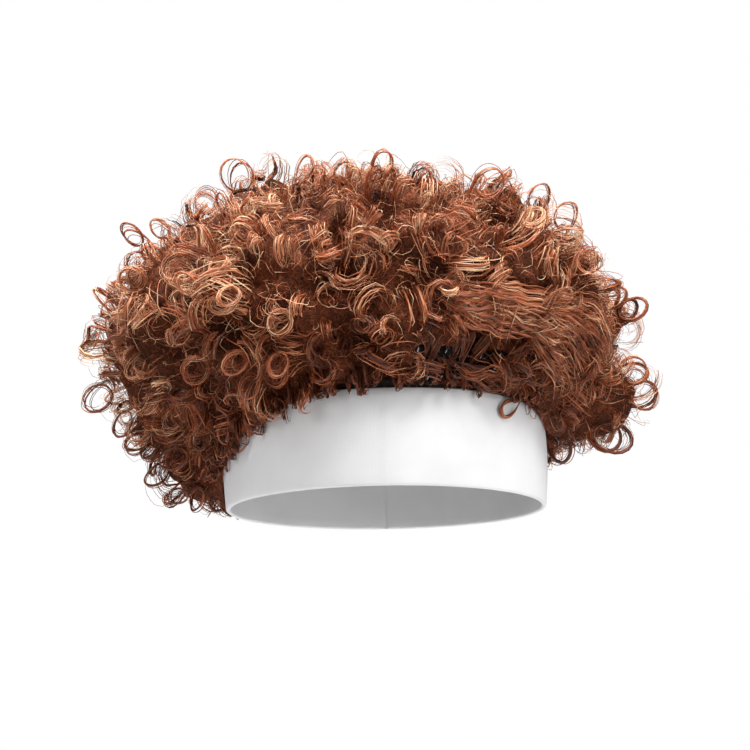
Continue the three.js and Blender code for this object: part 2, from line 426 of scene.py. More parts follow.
# Hair under the curls
# The short inner locks of every weft, so frizzy and close that they read as one woolly mass between the
# curls. It fills the hair's form to a finger's depth below its surface, and deeper in the hollows between
# the bunches.
UNDER_DEPTH = 0.0125
UNDER_SHARE = 0.7
UNDER_COLUMNS = 200
UNDER_RISES = 90
LINING_RISES = 14
BUNCH_SIZE = 0.068
BUNCH_DEPTH = 0.0055
BUNCH_SEED = 5
CREASE = 1.4
FIELD_WAVES = 9
FIELD_SCALES = (0.7, 1.3)
WOOL_TONE = 0.42
STRAND_MEAN = 0.58
STRAND_CONTRAST = 2.6
PATCH_CONTRAST = 0.9
# The size, the seed and the height of each field.
WOOL = [(0.034, 12, 0.0022), (0.013, 13, 0.0014), (0.008, 14, 0.0009)]
# Dyes far darker than the curls': the wool's swirls in colour, darkened overall as painted shade of the
# depths under the curls.
WOOL_DYES_AND_SHADE = [(0.0, (0.02, 0.0045, 0.0016)), (0.45, (0.15, 0.036, 0.012)), (1.0, (0.42, 0.12, 0.045))]


def table(names, rows):
    """A table as arrays by the names of its columns."""
    return dict(zip(names.split(), np.array(rows, float).T))


# Degrees as the heart sees them, and millimetres. A negative depth is a bunch that bulges.
HOLLOWS = table("azimuth elevation depth spread", [
    (326, 24, 11, 4), (331, 11, 11, 4), (321, 16, 7, 4), (315, 8, 7, 4),
    (306, 3, 7, 4), (327, 1, 7, 4), (345, 8, 7, 4), (354, 12, 7, 4),
    (357, 7, 7, 4), (7, 11, 10, 4), (0, 24, 7, 4), (351, 22, 11, 4),
    (15, 29, 11, 4), (27, 30, 11, 4), (12, -2, 6, 4), (351, -1, 6, 4),
    (25, 8, 6, 4), (30, 18, 6, 4), (339, 30, 11, 4), (355, -10, 8, 3),
    (342, -11, 5, 4), (322, 26, 6, 4), (351, 35, 5, 4), (37, 27, 6, 4),
    (49, 9, 6, 4), (84, 17, 8, 4),
])
BUNCHES = table("azimuth elevation depth spread", [
    (330, 6, -5, 3.5), (354, 4, -5, 3.5), (342, 3, -5, 3.5), (327, 30, -5, 3.5),
    (24, 14, -5, 3.5), (342, 22, -5, 3.5), (336, 2, -3, 3.5), (321, -2, -3, 3.5),
    (30, 14, -3, 3.5), (0, 9, -3, 3.5), (339, 17, -3, 3.5), (6, 16, -3, 3.5),
    (18, 3, -3, 3.5), (305, 60, -8, 13), (235, 60, -8, 13), (277, 26, -5, 7),
    (275, 8, -6, 8), (271, -8, -6, 7), (260, -20, -7, 8), (258, -32, -6, 7),
    (78, 24, -5, 7), (88, 8, -4, 6), (90, -9, -5, 6), (94, -20, -5, 6),
    (329, 38, -6, 5), (9, 35, -6, 5), (44, 20, -4, 4), (285, 60, -6, 6),
    (42, 74, -6, 7), (72, 27, -6, 6), (60, 38, -5, 6), (15, 40, -5, 5),
])
GAPS = table("azimuth elevation depth spread", [(22, -7, 14, 5.5), (11, -7, 10, 3.5)])


def billow(points, size, seed):
    """A smooth random field, about -1 to 1, from sine waves of about one length in random directions."""
    ways = np.random.default_rng(seed)
    headings = unit(ways.normal(size=(FIELD_WAVES, 3))) * 2 * np.pi / size
    headings = headings * ways.uniform(*FIELD_SCALES, (FIELD_WAVES, 1))
    phases = ways.uniform(0, 2 * np.pi, FIELD_WAVES)
    return np.sin(points @ headings.T + phases).sum(-1) / np.sqrt(FIELD_WAVES)


def direction(azimuth, elevation):
    """The unit direction of an azimuth and an elevation in degrees."""
    flat = np.cos(np.radians(elevation))
    return on_ray(np.radians(azimuth), flat, np.sin(np.radians(elevation)))


def angles_from(points, places):
    """The angles in degrees, as the heart sees them, between points and the places of a table."""
    toward = direction(places["azimuth"], places["elevation"])
    return np.degrees(np.arccos(np.clip(unit(points - HEART) @ toward.T, -1, 1)))


def sunk(points):
    """How far the hair sinks below its form at a place: along the creases between its bunches, where a
    random field changes its sign, and in each hollow and gap, as a bell over the angle from its middle. The
    placed bunches bulge by such bells."""
    depth = BUNCH_DEPTH * (1 - CREASE * np.abs(billow(points, BUNCH_SIZE, BUNCH_SEED)))
    for places in (HOLLOWS, BUNCHES, GAPS):
        bells = np.exp(-((angles_from(points, places) / places["spread"]) ** 2))
        depth = depth + bells @ places["depth"] / 1000
    return depth


def swirls(start, place, cells, finest):
    """Strands that circle the middles of curls: streaks across the distance to the nearest of many
    scattered cells, in a space that is bent at random."""
    drift = start.add("TexNoise", {}, Vector=place, Scale=cells * 1.6, Detail=2.0)
    sway = (1.1 / cells,) * 3
    bent = start.add(
        "VectorMath",
        {"operation": "MULTIPLY_ADD"},
        Vector=drift.out("Color"),
        Vector_001=sway,
        Vector_002=place,
    )
    nearest = start.add("TexVoronoi", {}, Vector=bent, Scale=cells)
    rings = start.add("CombineXYZ", {}, X=nearest.out("Distance") * finest, Y=drift * 7.0)
    return start.add("TexNoise", {}, Vector=rings, Scale=1.0, Detail=2.0, Roughness=0.7)


def woolly_fibre():
    """The inner fibre: strands that swirl one way over strands that swirl another, in colour and relief."""
    material, start = finish_for("hair_fibre_inner")
    place = start.add("TexCoord", {}).out("Object")
    broad = swirls(start, place, 58.0, 30.0)
    fine = swirls(start, place, 95.0, 20.0)
    patches = start.add("TexNoise", {}, Vector=place, Scale=45.0, Detail=2.0)
    strands = start.math("MAXIMUM", broad, fine)
    tone = (strands - STRAND_MEAN) * STRAND_CONTRAST + (patches - 0.5) * PATCH_CONTRAST + WOOL_TONE
    # The dark dyes are painted shade of the depths as well as the wool's own tone.
    colour = start.add("ValToRGB", {"stops": WOOL_DYES_AND_SHADE}, Fac=tone)
    relief = start.add("Bump", {}, Height=strands, Strength=1.0, Distance=0.003)
    close_finish(start, Base_Color=colour, Roughness=0.6, Normal=relief, Specular_IOR_Level=0.12)
    return material


hair_out, hair_in = skins("hair")
under_turn, under_rise = turns_and_rises(UNDER_COLUMNS, UNDER_RISES)
form = read_grid(hair_out, under_turn, under_rise)
thickness = np.linalg.norm(form - read_grid(hair_in, under_turn, under_rise), axis=-1)
depth = UNDER_DEPTH + sunk(form) + sum(high * billow(form, size, seed) for size, seed, high in WOOL)
depth = np.clip(np.minimum(depth, thickness * UNDER_SHARE), 0, None)
under = form - unit(form - HEART) * depth[..., None]
lining = read_grid(hair_in, *turns_and_rises(UNDER_COLUMNS, LINING_RISES))
underlayer = piece_from("hair_underlayer", "hair_fibre", woolly_fibre(), *shell_from(under, lining))
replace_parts(underlayer, "hair")

# Weft tape in the gap
# The ends of three rows of the black tape that the hair is sewn to, which show where the curls leave a gap
# over the front of the band, with their pale slanting stitches.
TAPE_ELEVATIONS = np.array([-4.5, -7.5, -10.5])
TAPE_AZIMUTHS = np.linspace(7, 33, 36)
TAPE_WIDTH = 0.0085
TAPE_FLATNESS = 0.2
TAPE_LIFT = 0.001
TAPE_RIB = 0.0009
TAPE_PICKS = 70
# Blacks darker than the cap's net: black tape, with painted shade of the hair that overhangs the gap.
TAPE_BLACKS_AND_SHADE = [(0.0, (0.004, 0.0033, 0.0033)), (1.0, (0.009, 0.0075, 0.0075))]
STITCH_LENGTH = 0.0022
STITCH_WIDTH = 0.0006
STITCH_FLATNESS = 0.8
STITCH_STEP = 5
STITCH_LIFT = 0.15
STITCH_LEAN = 0.5
STITCH_POINTS = 4
THREAD_PLIES = 5
THREAD_WHITES = [(0.0, (0.5, 0.54, 0.58)), (0.6, (0.66, 0.7, 0.74))]
TUBE_SPANS = np.array([-0.5, 0, 0.5])
TUBE_HEIGHTS = np.array([-0.35, 0.65, -0.35])
ROOT_SHARE = 0.4
ROOT_RUN = 0.3
TIP_SHARE = 0.1
TIP_STEEPNESS = 2.5
MAP_ACROSS = 16.0
BAND_MARGIN = 0.0015
BAND_CLEARANCE = 0.0012


def smooth(share):
    """A share eased in and out between 0 and 1."""
    share = np.clip(share, 0, 1)
    return share * share * (3 - 2 * share)


def outward_at(turn, rise):
    """The hair's outward direction: the normal of its skin, or the way from the heart at the top."""
    small = 0.01
    east = read_grid(hair_out, turn + small, rise) - read_grid(hair_out, turn - small, rise)
    up = read_grid(hair_out, turn, rise + small) - read_grid(hair_out, turn, rise - small)
    return unit(np.cross(east, up) + unit(read_grid(hair_out, turn, rise) - HEART) * 1e-5)


def rise_at(azimuth, elevation):
    """The rise on the hair's skin at azimuths and elevations from the heart, in degrees."""
    spoke = hair_out - HEART
    slopes = np.degrees(np.arctan2(spoke[..., 2], np.hypot(spoke[..., 0], spoke[..., 1])))
    column = slopes[np.round(azimuth / 360 * COLUMNS).astype(int) % COLUMNS]
    below = np.clip((column < elevation[..., None]).sum(-1) - 1, 0, RISES - 2)
    low, high = (np.take_along_axis(column, (below + step)[..., None], -1)[..., 0] for step in (0, 1))
    return (below + np.clip((elevation - low) / (high - low), 0, 1)) / (RISES - 1)


def clear_of_band(points):
    """Points moved out along their rays, where they hang beside the band, to lie on it and not in it."""
    radius = np.hypot(points[..., 0], points[..., 1])
    wall = head_radius(azimuth_of(points)) + 2 * CLOTH + LAYER_GAP + BOW + BAND_CLEARANCE
    beside = (points[..., 2] < BAND_HEIGHT + BAND_MARGIN) & (radius < wall)
    scale = np.where(beside, wall / radius, 1)
    return points * np.stack([scale, scale, np.ones_like(scale)], axis=-1)


def tubes(lines, faces, width, thickness, dye):
    """Closed tubes along lines, with two edges and a ridge towards their faces, slim at the root and drawn
    to a tip. The map has the dye across, spread by the place across the tube, and the length along."""
    along = np.linspace(0, 1, lines.shape[1])[None, :]
    lines = clear_of_band(lines)
    forward = unit(np.gradient(lines, axis=1))
    ridge = unit(faces - (faces * forward).sum(-1, keepdims=True) * forward)
    across = np.cross(ridge, forward)
    taper = ROOT_SHARE + (1 - ROOT_SHARE) * smooth(along / ROOT_RUN)
    taper = taper * np.minimum(1, (1 - along) * TIP_STEEPNESS + TIP_SHARE)
    spans = width[:, None, None] * taper[..., None] * TUBE_SPANS
    heights = thickness[:, None, None] * taper[..., None] * TUBE_HEIGHTS
    edges = lines[:, :, None] + across[:, :, None] * spans[..., None]
    corners = edges + ridge[:, :, None] * heights[..., None]
    u = dye[:, None, None] + MAP_ACROSS * spans
    v = np.broadcast_to(along[..., None], u.shape)
    return corners, np.stack([u, v], axis=-1)


def tube_faces(count, stations):
    """The faces of tubes one after another: a ring of three at each station, and a cap at both ends."""
    start = (np.arange(count) * stations * 3)[:, None, None]
    base = start + np.arange(stations - 1)[None, :, None] * 3
    corner = np.arange(3)[None, None, :]
    after = (corner + 1) % 3
    ahead = base + 3
    quads = np.stack(np.broadcast_arrays(base + corner, ahead + corner, ahead + after, base + after), axis=-1)
    first = start[:, 0] + np.array([0, 1, 2])
    last = start[:, 0] + (stations - 1) * 3 + np.array([2, 1, 0])
    return quads.reshape(-1, 4), np.concatenate([first, last])


def tube_piece(name, slot, material, lines, faces, width, thickness):
    """One piece from undyed tubes."""
    corners, uv = tubes(lines, faces, width, thickness, np.zeros(len(lines)))
    four, three = tube_faces(*lines.shape[:2])
    return piece_from(name, slot, material, corners.reshape(-1, 3), four, three, uv.reshape(-1, 2))


def tape_weave():
    """Dull black woven tape with painted shade: ribs and picks cross in it, in the relief and a little in the
    black.
    """
    material, start = finish_for("weft_tape")
    across, along = map_axes(start)
    ribs = start.math("SINE", across * (2 * np.pi / (MAP_ACROSS * TAPE_RIB)))
    weave = ribs * start.math("SINE", along * (2 * np.pi * TAPE_PICKS))
    black = start.add("ValToRGB", {"stops": TAPE_BLACKS_AND_SHADE}, Fac=weave * 0.5 + 0.5)
    relief = start.add("Bump", {}, Height=weave, Strength=0.5, Distance=0.0002)
    close_finish(start, Base_Color=black, Roughness=0.9, Normal=relief, Specular_IOR_Level=0.1)
    return material


def sewing_thread():
    """Pale sewing thread: its plies slant round it, in the relief and in the white."""
    material, start = finish_for("thread")
    across, along = map_axes(start)
    slant = across * (2 * np.pi / (MAP_ACROSS * STITCH_WIDTH))
    plies = start.math("SINE", along * (2 * np.pi * THREAD_PLIES) + slant)
    white = start.add("ValToRGB", {"stops": THREAD_WHITES}, Fac=plies * 0.5 + 0.5)
    relief = start.add("Bump", {}, Height=plies, Strength=0.4, Distance=0.0001)
    close_finish(start, Base_Color=white, Roughness=0.5, Normal=relief)
    return material


azimuth, elevation = np.broadcast_arrays(TAPE_AZIMUTHS[None, :], TAPE_ELEVATIONS[:, None])
turn, rise = azimuth / 360, rise_at(azimuth, elevation)
outward = outward_at(turn, rise)
run = read_grid(under, turn, rise) + outward * TAPE_LIFT
broad = np.full(len(run), TAPE_WIDTH)
tape = tube_piece("weft_tape", "cap_net", tape_weave(), run, outward, broad, broad * TAPE_FLATNESS)
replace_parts(tape, "wig_cap")

stitched = (slice(None), slice(1, -1, STITCH_STEP))
outward = outward[stitched].reshape(-1, 3)
sewn = run[stitched].reshape(-1, 3) + outward * TAPE_WIDTH * STITCH_LIFT
slant = unit(np.gradient(run, axis=1)[stitched].reshape(-1, 3)) * STITCH_LEAN + np.array([0, 0, 1])
steps = np.linspace(-0.5, 0.5, STITCH_POINTS)[None, :, None] * STITCH_LENGTH
lines = sewn[:, None] + unit(slant)[:, None] * steps
faces = np.repeat(outward[:, None], STITCH_POINTS, axis=1)
fine = np.full(len(lines), STITCH_WIDTH)
stitches = tube_piece("weft_stitches", "cap_net", sewing_thread(), lines, faces, fine, fine * STITCH_FLATNESS)
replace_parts(stitches, "wig_cap")

# Ringlets
# Locks of crimped fibre set in loose rolls and rings and sewn to the cap in rows. Each is one flat dark
# bundle in the core, dyed darker as painted shade of lying under the rest, and a dozen single strands
# that have worked loose and follow it round one axis.
RINGLET_SPACING = 0.0150
RINGLET_RADIUS = 0.0085
RADIUS_SPREAD = 0.35
RADIUS_LIMITS = (0.0045, 0.016)
WIDE_EASE = 0.7
CORE_RADIUS = 0.9
# Painted shade: how much darker the core bundles under the strands are dyed.
CORE_PAINTED_SHADE = 0.14
CLUMP_DYE = 0.11
CLUMP_SIZE = 0.026
CLUMP_SEED = 21
# Painted shade: how much darker the hair is dyed at the hem, fading out over a share of the rise.
PAINTED_HEM_SHADE = 0.26
HEM_SHARE = 0.3
TIDY_HEM = 0.037
TIDY_EASE = 0.007
LOOSE_LOW = 0.003
HANG_SHARE = 0.8
DEPTH_SHARE = 0.4
ROOT_LEAD = 0.012
LEAD_RUN = 0.4
OPEN_SHARE = 0.5
OPEN_RUN = 0.3
TIP_DRAW = 0.3
STRAY_START = 2
STRAY_SWEEP = 1.6
STRAND_DYE = 0.02
RADIUS_SHARES = (0.4, 1.6)
SWEEP_SHARES = (0.5, 1.4)
DYE_LIMITS = (0.05, 0.95)
SQUASHES = (0.6, 1.0)
WANDER_PACE = 0.8
FIBRE_PITCH = 0.0004
FIBRE_CONTRAST = 1.5
SHADE_CONTRAST = 0.6
ROOT_SHADE = -0.3
HAIR_DYES = [(0.05, (0.07, 0.013, 0.004)), (0.5, (0.48, 0.108, 0.029)), (1.0, (1.0, 0.69, 0.41))]
random = np.random.default_rng(2024)


def weft_places(spacing):
    """Places over the hair in rows, as wefts are sewn, about a spacing apart both ways and moved at random.
    The gaps stay bare."""
    meridian = np.linalg.norm(np.diff(hair_out, axis=1), axis=-1).sum(1).mean()
    rows = int(meridian / spacing)
    middle = (np.arange(rows) + 0.5) / rows
    ring = hair_out[:, np.round(middle * (RISES - 1)).astype(int)]
    girth = np.linalg.norm(ring - np.roll(ring, 1, axis=0), axis=-1).sum(0)
    counts = np.maximum((girth / spacing).astype(int), 3)
    row = np.repeat(np.arange(rows), counts)
    step = np.arange(counts.sum()) - np.repeat(np.cumsum(counts) - counts, counts)
    turn = (step + random.uniform(0, 1, len(row))) / counts[row]
    rise = (row + random.uniform(0, 1, len(row))) / rows
    skin = read_grid(hair_out, turn, rise)
    kept = (angles_from(skin, GAPS) > GAPS["spread"]).all(-1)
    return turn[kept], rise[kept]


def dyes(turn, rise, middle, spread):
    """Random dyes about a middle one, lighter or darker from clump to clump, and painted shade towards the
    hem.
    """
    clumps = CLUMP_DYE * billow(read_grid(hair_out, turn, rise), CLUMP_SIZE, CLUMP_SEED)
    return random.normal(middle, spread, len(rise)) + clumps - PAINTED_HEM_SHADE * (1 - smooth(rise / HEM_SHARE))


def leaning(turn, rise, lean):
    """Random axes that lean outward by a share."""
    outward = outward_at(turn, rise)
    return unit(outward * lean + random.normal(size=outward.shape))


def curls_at(turn, rise, depth, radius, turns, climb, axis, dye):
    """Curls at places on the hair, each with an axis, a random hand and a random start. A depth is measured
    in from the form to the middle of the curl, and is less where the hair is thin. A curl that would hang
    below the hem, over the front of the band where the hem is tidy, or below the band's lower rim
    elsewhere, is lifted."""
    skin = read_grid(hair_out, turn, rise)
    outward = outward_at(turn, rise)
    room = np.linalg.norm(skin - read_grid(hair_in, turn, rise), axis=-1)
    place = skin - outward * np.minimum(depth, room * DEPTH_SHARE)[:, None]
    hem = read_grid(hair_out, turn, np.zeros_like(rise))[..., 2]
    lowest = LOOSE_LOW + (hem - LOOSE_LOW) * smooth((hem - TIDY_HEM) / TIDY_EASE)
    lift = np.clip(lowest + radius * HANG_SHARE - place[..., 2], 0, None)
    return {
        "rise": rise,
        "place": place + np.array([0, 0, 1]) * lift[:, None],
        "outward": outward,
        "axis": axis,
        "first": unit(np.cross(axis, random.normal(size=skin.shape))),
        "radius": radius,
        "squash": random.uniform(*SQUASHES, len(turn)),
        "start": random.uniform(0, 2 * np.pi, len(turn)),
        "sweep": random.choice([-1, 1], len(turn)) * turns * 2 * np.pi,
        "climb": climb,
        "dye": dye,
    }


def frayed(curls, number, aside, spread, dye_spread):
    """Parts of each curl: copies moved along the axis by a random share of the radius, a little wider or
    tighter, ahead or behind, longer or shorter, and lighter or darker."""
    strands = {name: np.repeat(values, number, axis=0) for name, values in curls.items()}
    stray = random.normal(size=(4, len(strands["rise"])))
    shift = strands["axis"] * (stray[0] * aside * strands["radius"])[:, None]
    strands["place"] = strands["place"] + shift
    strands["radius"] = strands["radius"] * np.clip(1 + stray[1] * spread, *RADIUS_SHARES)
    strands["start"] = strands["start"] + stray[2] * spread * STRAY_START
    strands["sweep"] = strands["sweep"] * np.clip(1 + stray[3] * spread * STRAY_SWEEP, *SWEEP_SHARES)
    strands["dye"] = np.clip(strands["dye"] + random.normal(STRAND_DYE, dye_spread, len(shift)), *DYE_LIMITS)
    return strands


def wander(count, stations, size):
    """Random smooth wandering along each line: three waves in random directions, the longest the widest."""
    along = np.linspace(0, 1, stations)[None, :, None]
    total = np.zeros((count, stations, 3))
    for wave in (1, 2, 3):
        sway = random.normal(size=(count, 1, 3)) * size / wave
        phase = wave * along * WANDER_PACE + random.uniform(0, 1, (count, 1, 1))
        total += sway * np.sin(2 * np.pi * phase)
    return total


def coil(curls, stations, loose):
    """Helices about the curls' axes, squashed to ovals. Each starts deep in the hair, opens to its radius
    as it comes out, draws in at its tip and wanders a little. Gives the lines and their spokes."""
    along = np.linspace(0, 1, stations)[None, :]
    angle = curls["start"][:, None] + curls["sweep"][:, None] * along
    first, axis = curls["first"][:, None], curls["axis"][:, None]
    second = np.cross(axis, first) * curls["squash"][:, None, None]
    spokes = np.cos(angle)[..., None] * first + np.sin(angle)[..., None] * second
    opening = (OPEN_SHARE + (1 - OPEN_SHARE) * smooth(along / OPEN_RUN)) * (1 - TIP_DRAW * along**3)
    reach = spokes * (curls["radius"][:, None] * opening)[..., None]
    climb = axis * (curls["climb"][:, None] * (along - 0.5))[..., None]
    lead = curls["outward"][:, None] * (ROOT_LEAD * (1 - smooth(along / LEAD_RUN)))[..., None]
    lines = curls["place"][:, None] + reach + climb - lead
    return lines + wander(len(lines), stations, loose), spokes


def hair_fibre():
    """Dyed crimped fibre. The map's first axis is the dye, from dark to light, with single fibres side by
    side in it, and its second axis runs along the lock from the root, which is darker, to the tip."""
    material, start = finish_for("hair_fibre")
    dye, along = map_axes(start)
    lanes = dye * (1 / (MAP_ACROSS * FIBRE_PITCH))
    flat = {"noise_dimensions": "2D"}
    strands = start.add("CombineXYZ", {}, X=lanes, Y=along * 4.0)
    fibres = start.add("TexNoise", flat, Vector=strands, Scale=1.0, Detail=2.0, Roughness=0.6)
    bands = start.add("CombineXYZ", {}, X=lanes * 0.25, Y=along * 6.0)
    shade = start.add("TexNoise", flat, Vector=bands, Scale=1.0, Detail=1.0)
    root = start.add("MapRange", {}, Value=along, From_Max=0.3, To_Min=ROOT_SHADE, To_Max=0.0)
    tone = dye + (fibres - 0.5) * FIBRE_CONTRAST + (shade - 0.5) * SHADE_CONTRAST + root
    colour = start.add("ValToRGB", {"stops": HAIR_DYES}, Fac=tone)
    relief = start.add("Bump", {}, Height=fibres, Strength=0.8, Distance=0.0005)
    close_finish(
        start,
        Base_Color=colour,
        Roughness=0.42,
        Normal=relief,
        Specular_IOR_Level=0.55,
        Specular_Tint=(1.0, 0.9, 0.8, 1),
    )
    return material


hair_batches = []


def lay_locks(curls, stations, width, thick, outward, loose):
    """Bundles along curls, with random widths between two, of a thickness that is a share of the width,
    which wander by a looseness. They face away from the axis, and by a random share away from the head."""
    lines, spokes = coil(curls, stations, loose)
    faces = spokes + curls["outward"][:, None] * random.uniform(0, outward, (len(lines), 1, 1))
    width = random.uniform(*width, len(lines))
    hair_batches.append((curls["rise"], *tubes(lines, faces, width, width * thick, curls["dye"])))


turn, rise = weft_places(RINGLET_SPACING)
count = len(turn)
radius = np.clip(random.lognormal(np.log(RINGLET_RADIUS), RADIUS_SPREAD, count), *RADIUS_LIMITS)
ringlets = curls_at(
    turn,
    rise,
    depth=radius * 0.5 + random.uniform(-0.001, 0.005, count) + sunk(read_grid(hair_out, turn, rise)),
    radius=radius,
    turns=random.uniform(0.5, 1.2, count) * np.minimum(1, RINGLET_RADIUS / radius) ** WIDE_EASE,
    climb=random.uniform(0.002, 0.009, count),
    axis=leaning(turn, rise, 0.2),
    dye=dyes(turn, rise, 0.5, 0.1),
)
cores = dict(ringlets, radius=radius * CORE_RADIUS, dye=ringlets["dye"] - CORE_PAINTED_SHADE)
lay_locks(
    frayed(cores, number=1, aside=0.2, spread=0.07, dye_spread=0.06),
    stations=10, width=(0.0014, 0.0028), thick=0.25, outward=1.0, loose=0.0006,
)
lay_locks(
    frayed(ringlets, number=12, aside=0.30, spread=0.12, dye_spread=0.13),
    stations=11, width=(0.00025, 0.00055), thick=0.5, outward=1.2, loose=0.0005,
)

# Outer rings
# Ringlets that have sprung out of the mass and stand clear of it, so that light shows through them. The
# table has the ones along the outline and the plainest of the front, which face forward, in degrees and
# millimetres. Its dyes are darker for the rings low on the sides, a painted shade like the hem's. The rest
# stand anywhere, any way.
OUTER_SPACING = 0.037
SPRUNG = table("azimuth elevation lift radius turns width dye", [
    (279, 53, 6, 9.5, 2.2, 1.1, 0.42), (284, 42, 5, 8, 1.9, 0.9, 0.45), (276, 28, 8, 7.5, 2.1, 1.2, 0.4),
    (272, 33, 3, 6, 1.6, 0.9, 0.45), (276, 14, 2, 8.5, 1.6, 1.3, 0.45), (276, 5, 2, 7.5, 1.4, 1.1, 0.45),
    (273, -4, 6, 8.5, 1.7, 1.2, 0.35), (268, -10, 4, 8, 1.6, 1.4, 0.3), (262, -14, 3, 7, 1.8, 1.5, 0.3),
    (260, -22, 4, 7, 1.3, 1.2, 0.25), (262, -29, 5, 6.5, 1.4, 1, 0.25), (262, -34, 6, 6.5, 1.3, 1, 0.3),
    (257, -38, 4, 6, 1.3, 1.8, 0.15), (291, 67, 4, 8, 1.3, 1.2, 0.45), (0, 42, 2, 9, 1.2, 1.3, 0.45),
    (27, 33, 3, 8.5, 1.3, 1.2, 0.4), (45, 33, 1, 7, 1.4, 0.9, 0.3), (46, 26, 0, 7, 1.3, 1, 0.45),
    (33, 22, 2, 6.5, 2.3, 1, 0.75), (87, 12, 5, 8, 2.3, 2.6, 0.3), (86, 16, 3, 6.5, 2.1, 2.2, 0.3),
    (86, -2, 3, 7.5, 1.8, 2.2, 0.35), (87, -7, 4, 8, 1.8, 2.2, 0.3), (86, -16.5, 5, 11, 2.2, 2.4, 0.15),
    (96, -22, 4, 8, 1.4, 2.2, 0.15), (106, -26, 3, 6.5, 1.3, 1.8, 0.2), (321, 9, 1, 7, 2.2, 1.2, 0.55),
    (330, 6, 1, 6.5, 2.2, 1.2, 0.6), (315, -6, 1, 7.5, 2.2, 1.2, 0.4), (327, -6, 1, 7, 2.2, 1.2, 0.45),
    (327, -11, 1, 6.5, 2.2, 1.4, 0.35), (303, -16, 1, 7.5, 2.2, 1.2, 0.3), (273, -22, 2, 8, 2, 1.4, 0.25),
    (300, 14, 1, 6.5, 2.2, 1.2, 0.5), (339, 1, 0, 6.5, 2.2, 1, 0.55), (336, -8, 0, 6.5, 2.2, 1.2, 0.4),
])


def rooted(rings):
    """Rings that start at the side towards the head."""
    inward = -rings["outward"]
    beside = inward - (inward * rings["axis"]).sum(-1, keepdims=True) * rings["axis"]
    return dict(rings, first=unit(beside), start=np.zeros(len(beside)))


turn, rise = SPRUNG["azimuth"] / 360, rise_at(SPRUNG["azimuth"], SPRUNG["elevation"])
count = len(turn)
forward_rings = rooted(curls_at(
    turn,
    rise,
    depth=-SPRUNG["lift"] / 1000,
    radius=SPRUNG["radius"] / 1000,
    turns=SPRUNG["turns"],
    climb=random.uniform(0.001, 0.004, count),
    axis=unit(np.array([0, -1, -0.1]) + random.normal(0, 0.35, (count, 3))),
    dye=SPRUNG["dye"],
))
turn, rise = weft_places(OUTER_SPACING)
count = len(turn)
any_rings = rooted(curls_at(
    turn,
    rise,
    depth=random.uniform(0.0, 0.007, count),
    radius=random.uniform(0.005, 0.008, count),
    turns=random.uniform(1.2, 2.1, count),
    climb=random.uniform(0.002, 0.007, count),
    axis=leaning(turn, rise, 0.0),
    dye=dyes(turn, rise, 0.5, 0.1),
))
# Each ring's cord is dyed darker than its strands, painted shade as for the ringlets' cores.
cord_width = SPRUNG["width"] / 1000
cords = dict(forward_rings, dye=SPRUNG["dye"] - CORE_PAINTED_SHADE / 2)
lay_locks(
    frayed(cords, number=1, aside=0.0, spread=0.0, dye_spread=0.03),
    stations=36, width=(cord_width * 0.9, cord_width), thick=0.7, outward=0.3, loose=0.0003,
)
lay_locks(
    frayed(forward_rings, number=4, aside=0.14, spread=0.07, dye_spread=0.12),
    stations=36, width=(0.0003, 0.0006), thick=0.7, outward=0.3, loose=0.0003,
)
cords = dict(any_rings, dye=any_rings["dye"] - CORE_PAINTED_SHADE)
lay_locks(
    frayed(cords, number=1, aside=0.0, spread=0.0, dye_spread=0.05),
    stations=24, width=(0.0007, 0.0014), thick=0.7, outward=0.4, loose=0.0003,
)
lay_locks(
    frayed(any_rings, number=6, aside=0.26, spread=0.10, dye_spread=0.14),
    stations=20, width=(0.0003, 0.0006), thick=0.7, outward=0.4, loose=0.0003,
)

# Loop on the band
# One small lock that hangs out of the hem and lies on the band's front, turned back on itself like a drop.
# It is a few thick strands that lie side by side.
LOOP_AZIMUTH = 47.0
LOOP_SIZE = {"down": 0.0075, "aside": 0.0165, "half_breadth": 0.0046, "below_hem": 0.001}
LOOP_STRANDS = 6
LOOP_SPREAD = 0.05
LOOP_STATIONS = 28
LOOP_WIDTHS = (0.0009, 0.0016)
LOOP_THICKNESS = 0.7
LOOP_DYE, LOOP_DYE_SPREAD = 0.3, 0.08


def drop_lines():
    """A drop's outline: out along its length by half of one less the cosine of a turn, and to each side by
    the sine of the turn times the sine of half of it. The strands differ a little in size."""
    turn = np.linspace(0, 2 * np.pi, LOOP_STATIONS)[None, :, None]
    east = on_ray(np.radians(LOOP_AZIMUTH) + np.pi / 2, 1, 0)
    length = LOOP_SIZE["down"] * np.array([0, 0, -1]) - LOOP_SIZE["aside"] * east
    breadth = unit(np.cross(length, on_ray(np.radians(LOOP_AZIMUTH), 1, 0))) * LOOP_SIZE["half_breadth"]
    size = 1 + random.normal(0, LOOP_SPREAD, (2, LOOP_STRANDS, 1, 1))
    out, aside = (1 - np.cos(turn)) / 2, np.sin(turn) * np.sin(turn / 2)
    hem = read_grid(hair_out, np.full(1, LOOP_AZIMUTH / 360), np.zeros(1))[0]
    tip = hem - np.array([0, 0, LOOP_SIZE["below_hem"]])
    return tip + size[0] * out * length + size[1] * aside * breadth


lines = drop_lines()
facing = np.broadcast_to(on_ray(np.radians(LOOP_AZIMUTH), 1, 0), lines.shape)
width = random.uniform(*LOOP_WIDTHS, LOOP_STRANDS)
dye = random.normal(LOOP_DYE, LOOP_DYE_SPREAD, LOOP_STRANDS)
hair_batches.append((np.zeros(LOOP_STRANDS), *tubes(lines, facing, width, width * LOOP_THICKNESS, dye)))

